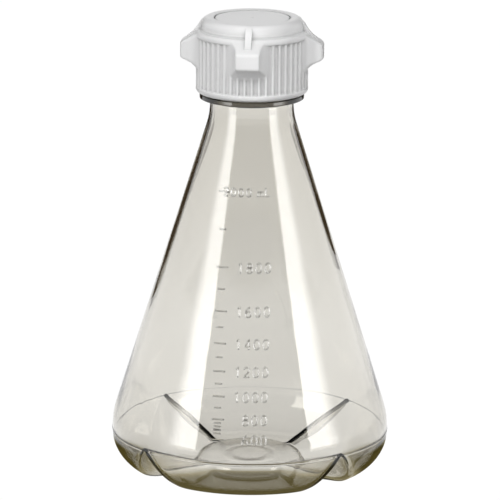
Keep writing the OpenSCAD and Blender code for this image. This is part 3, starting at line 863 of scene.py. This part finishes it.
clear = clearPlastic()
white, ventPlastic, weave, rubber = (mattStuff(name) for name in mattFinishes)
for piece in (flaskWall, scaleMarks):
    piece.data.materials.append(clear)
for piece in (closureSkin, ventDisc, ventGrille):
    piece.data.materials.append(white)
stuff = {"flask_body": clear, "sealing_gasket": rubber, "vent_membrane": weave,
         "membrane_backing": ventPlastic, "membrane_retainer": ventPlastic}
for name in nodes:
    nodes[name].data.materials.clear()
    nodes[name].data.materials.append(stuff.get(name, white))
print("materials made")


def lampMaterial(name):
    # a material that only gives light, with its tree, its emission and the sorts of ray that meet it
    material, tree, _ = newMaterial(name)
    tree.nodes.clear()
    light = addNode(tree, "Emission")
    addNode(tree, "OutputMaterial", {"Surface": light.outputs["Emission"]})
    return material, tree, light, addNode(tree, "LightPath").outputs


def emitter(name, strength, onMatt):
    # a lamp's face: light as a function of the attribute "glow", a share of it onto matt surfaces
    material, tree, light, path = lampMaterial(name)
    glow = addNode(tree, "Attribute", attribute_name="glow").outputs["Fac"]
    share = addMix(tree, strength, strength * onMatt, path["Is Diffuse Ray"])
    feed(light, {"Strength": addMath(tree, "MULTIPLY", glow, share)})
    return material


def stageSheet(name, places, material, glow=None, hidden=("camera",)):
    # an open sheet of quads from grids of x, y and z in metres, which the hidden rays pass
    grid = np.stack(np.broadcast_arrays(*places), -1)
    rows, columns = grid.shape[:2]
    a = np.arange(rows - 1)[:, None] * columns + np.arange(columns - 1)
    faces = np.stack([a, a + 1, a + columns + 1, a + columns], -1).reshape(-1, 4)
    sheet = meshFrom(name, grid.reshape(-1, 3) / mm, faces.tolist())
    if glow is not None:
        layer = sheet.data.attributes.new("glow", "FLOAT", "POINT")
        layer.data.foreach_set("value", np.full((rows, columns), glow, np.float32).ravel())
    sheet.data.materials.append(material)
    for ray in hidden:
        setattr(sheet, "visible_" + ray, False)
    sheet.parent = lampRing


floorPaper = {
    "half": 40.0, "z": -0.0004, "seen": 1.02, "onMatt": 0.17,
    # ovals where the paper is shaded: centre, half axes, soft edge from and to, the least light
    "front": ((0, -0.055), (0.078, 0.033), 0.7, 1.35, 0.07),
    "beside": ((0.083, 0), (0.030, 0.056), 0.5, 1.25, 0.0),
    "dark": (0.10, 0.08, 0.022, 1), "middle": (0.36, 0.32, 0.18, 1), "middleAt": 0.4,
}


def paleFloor():
    # the camera sees white paper, and rays that have met the piece find it shaded in front of the
    # flask and, mirrored, beside its heel
    f = floorPaper
    bright = (1, 1, 1, 1)
    material, tree, light, path = lampMaterial("paleFloor")
    spot = addNode(tree, "TexCoord").outputs["Object"]

    def oval(place, centre, half, start, end, least):
        # smooth step of |(place - centre) / half|, the way from the centre in half axes
        (cx, cy), (hx, hy) = centre, half
        fit = addNode(tree, "Mapping", {"Vector": place, "Location": (-cx / hx, -cy / hy, 0),
                                        "Scale": (1 / hx, 1 / hy, 0)})
        away = addVector(tree, "LENGTH", fit.outputs["Vector"])
        edge = {"Value": away, "From Min": start, "From Max": end, "To Min": least}
        return addNode(tree, "MapRange", edge, interpolation_type="SMOOTHSTEP").outputs["Result"]

    beside = oval(addVector(tree, "ABSOLUTE", spot), *f["beside"])
    tones = addNode(tree, "ValToRGB", {"Fac": addMath(tree, "MINIMUM", beside, oval(spot, *f["front"]))})
    ramp = tones.color_ramp.elements
    ramp[0].color = f["dark"]
    ramp[1].color = bright
    ramp.new(f["middleAt"]).color = f["middle"]
    camera = path["Is Camera Ray"]
    strength = addMix(tree, 1.0, f["onMatt"], path["Is Diffuse Ray"])
    feed(light, {"Color": addMix(tree, tones.outputs["Color"], bright, camera, "RGBA"),
                 "Strength": addMix(tree, strength, f["seen"], camera)})
    return material


def makeFloor():
    span = floorPaper["half"] * np.linspace(-1, 1, 9)
    stageSheet("floor", (*np.meshgrid(span, span), floorPaper["z"]), paleFloor(), hidden=())


# degrees are azimuth from the camera's side; sides are 1 right and -1 left
screens = {
    "radius": 0.8, "from": {1: 48.5, -1: 43.2}, "hold": {1: 15.5, -1: 12.8}, "side": {1: 1.30, -1: 1.17},
    "to": 137.0, "low": 0.002, "high": 0.62, "lamp": 5.5, "fade": 16.0,
    "upper": 0.5, "upperFrom": 0.2, "upperRise": 0.25,
}


def makeScreens():
    # curved screens either side: sharp inner edge, then a smooth step from lamp down to side
    s = screens
    for side, name in ((1, "lampRight"), (-1, "lampLeft")):
        start = s["from"][side]
        turn, z = np.meshgrid(np.linspace(start, s["to"], 80), np.linspace(s["low"], s["high"], 9))
        az = np.radians(turn)
        fade = np.clip((turn - start - s["hold"][side]) / s["fade"], 0, 1)
        upper = np.clip((z - s["upperFrom"]) / s["upperRise"], 0, 1)
        weak = s["side"][side] * (1 + s["upper"] * upper)
        glow = s["lamp"] + (weak - s["lamp"]) * fade * fade * (3 - 2 * fade)
        x, y = side * s["radius"] * np.sin(az), -s["radius"] * np.cos(az)
        stageSheet(name, (x, y, z), emitter(name, 1.0, 0.0), glow)


cards = {
    "x": {1: 0.26, -1: 0.235}, "xAt": 0.45, "lean": 0.12, "from": {1: 0.5, -1: 0.4}, "to": 1.6,
    "flank": (0.55, 0.59), "high": 0.45, "low": {1: (0.115, 0.06, 0.0), -1: (0.085, 0.04, 0.0)},
    "colour": (0.004, 0.004, 0.004, 1), "glow": (0.040, 0.022, 0.004, 1),
}


def makeCards():
    # black cards that flank the way behind
    s = cards
    dark, _, shader = newMaterial("blackCard")
    feed(shader, {"Base Color": s["colour"], "Roughness": 1,
                  "Emission Color": s["glow"], "Emission Strength": 1})
    for side, name in ((1, "cardRight"), (-1, "cardLeft")):
        ends = [(s["x"][side] + s["lean"] * (y - s["xAt"]), y) for y in (s["from"][side], s["to"])]
        x, y = np.transpose([s["flank"], *ends])
        z = [s["low"][side], (s["high"],) * 3]
        stageSheet(name, (side * x, y, z), dark, hidden=("camera", "diffuse", "shadow"))


paper = {"halfW": 0.36, "y": 1.62, "high": 0.9}


def makePaperBehind():
    # the paper's upright part, which only the piece's reflections and refractions find
    x, z = np.meshgrid((-paper["halfW"], paper["halfW"]), (0, paper["high"]))
    stageSheet("paperBehind", (x, paper["y"], z), emitter("paperBehind", 1.0, 0.0), 1)


# the key light stands in front of the piece and above the camera, square to its own line of sight
topLamp = {"half": 0.5, "y": -0.5, "z": 1.6, "strength": 1.4, "onMatt": 0.07}
keyLamp = {"away": 1.7, "riseDeg": 40.0, "turnDeg": -6.0, "width": 0.9, "high": 0.6, "aimZ": 0.25,
           "strength": 10.2}


def makeLamps():
    t, k = topLamp, keyLamp
    span = np.linspace(-1, 1, 3)
    x, y = np.meshgrid(span, span)
    stageSheet("lampAbove", (t["half"] * x, t["half"] * y + t["y"], t["z"]),
               emitter("lampAbove", t["strength"], t["onMatt"]), 1, ("camera", "transmission"))
    rise, turn = math.radians(k["riseDeg"]), math.radians(k["turnDeg"])
    out = np.array([math.sin(turn) * math.cos(rise), -math.cos(turn) * math.cos(rise), math.sin(rise)])
    right = np.array([math.cos(turn), math.sin(turn), 0])
    middle = np.array([0, 0, k["aimZ"]]) + out * k["away"]
    across, up = right * k["width"] / 2, np.cross(right, -out) * k["high"] / 2
    front = middle + x[..., None] * across + y[..., None] * up
    stageSheet("lampFront", front.transpose(2, 0, 1), emitter("lampFront", k["strength"], 1.0), 1,
               ("camera", "glossy", "transmission"))


room = {"fill": 0.02, "onMatt": 0.035, "seen": 1.02}


def makeWorld():
    # white all round: full for the camera, faint for the piece
    world = bpy.data.worlds.new("studio")
    bpy.context.scene.world = world
    world.use_nodes = True
    tree = world.node_tree
    path = addNode(tree, "LightPath").outputs
    fill = addMix(tree, room["fill"], room["onMatt"], path["Is Diffuse Ray"])
    feed(tree.nodes["Background"], {"Color": (1, 1, 1, 1),
                                    "Strength": addMix(tree, fill, room["seen"], path["Is Camera Ray"])})


camera = {"distance": 2.5107, "height": 0.7532, "turnDeg": 4.0, "aimZ": 0.132, "focalPx": 4426.0,
          "framePx": 500, "sensor": 36.0, "shiftX": -0.0018, "shiftY": -0.0035, "rollDeg": 0.37}


def makeCamera():
    c = camera
    turn = math.radians(c["turnDeg"])
    data = bpy.data.cameras.new("view")
    data.sensor_width = c["sensor"]
    data.lens = c["focalPx"] / c["framePx"] * c["sensor"]
    data.shift_x, data.shift_y = c["shiftX"], c["shiftY"]
    data.clip_start, data.clip_end = 0.1, 200
    cam = bpy.data.objects.new("view", data)
    bpy.context.scene.collection.objects.link(cam)
    cam.location = (c["distance"] * math.sin(turn), -c["distance"] * math.cos(turn), c["height"])
    look = (Vector((0, 0, c["aimZ"])) - cam.location).to_track_quat("-Z", "Y")
    cam.rotation_mode = "QUATERNION"
    cam.rotation_quaternion = look @ Quaternion((0, 0, 1), math.radians(c["rollDeg"]))
    bpy.context.scene.camera = cam
    # the lamps turn with the camera's side, as for a piece on a turntable
    follow = lampRing.constraints.new("LOCKED_TRACK")
    follow.target = cam
    follow.track_axis = "TRACK_NEGATIVE_Y"
    follow.lock_axis = "LOCK_Z"


scene = bpy.context.scene
lampRing = bpy.data.objects.new("lampRing", None)
scene.collection.objects.link(lampRing)
for make in (makeFloor, makeScreens, makeCards, makePaperBehind, makeLamps, makeWorld, makeCamera):
    make()
scene.view_settings.view_transform = "Standard"
scene.cycles.max_bounces = 24
scene.cycles.transmission_bounces = 24
scene.cycles.glossy_bounces = 12
scene.cycles.transparent_max_bounces = 24
scene.cycles.use_denoising = True
print("stage made")
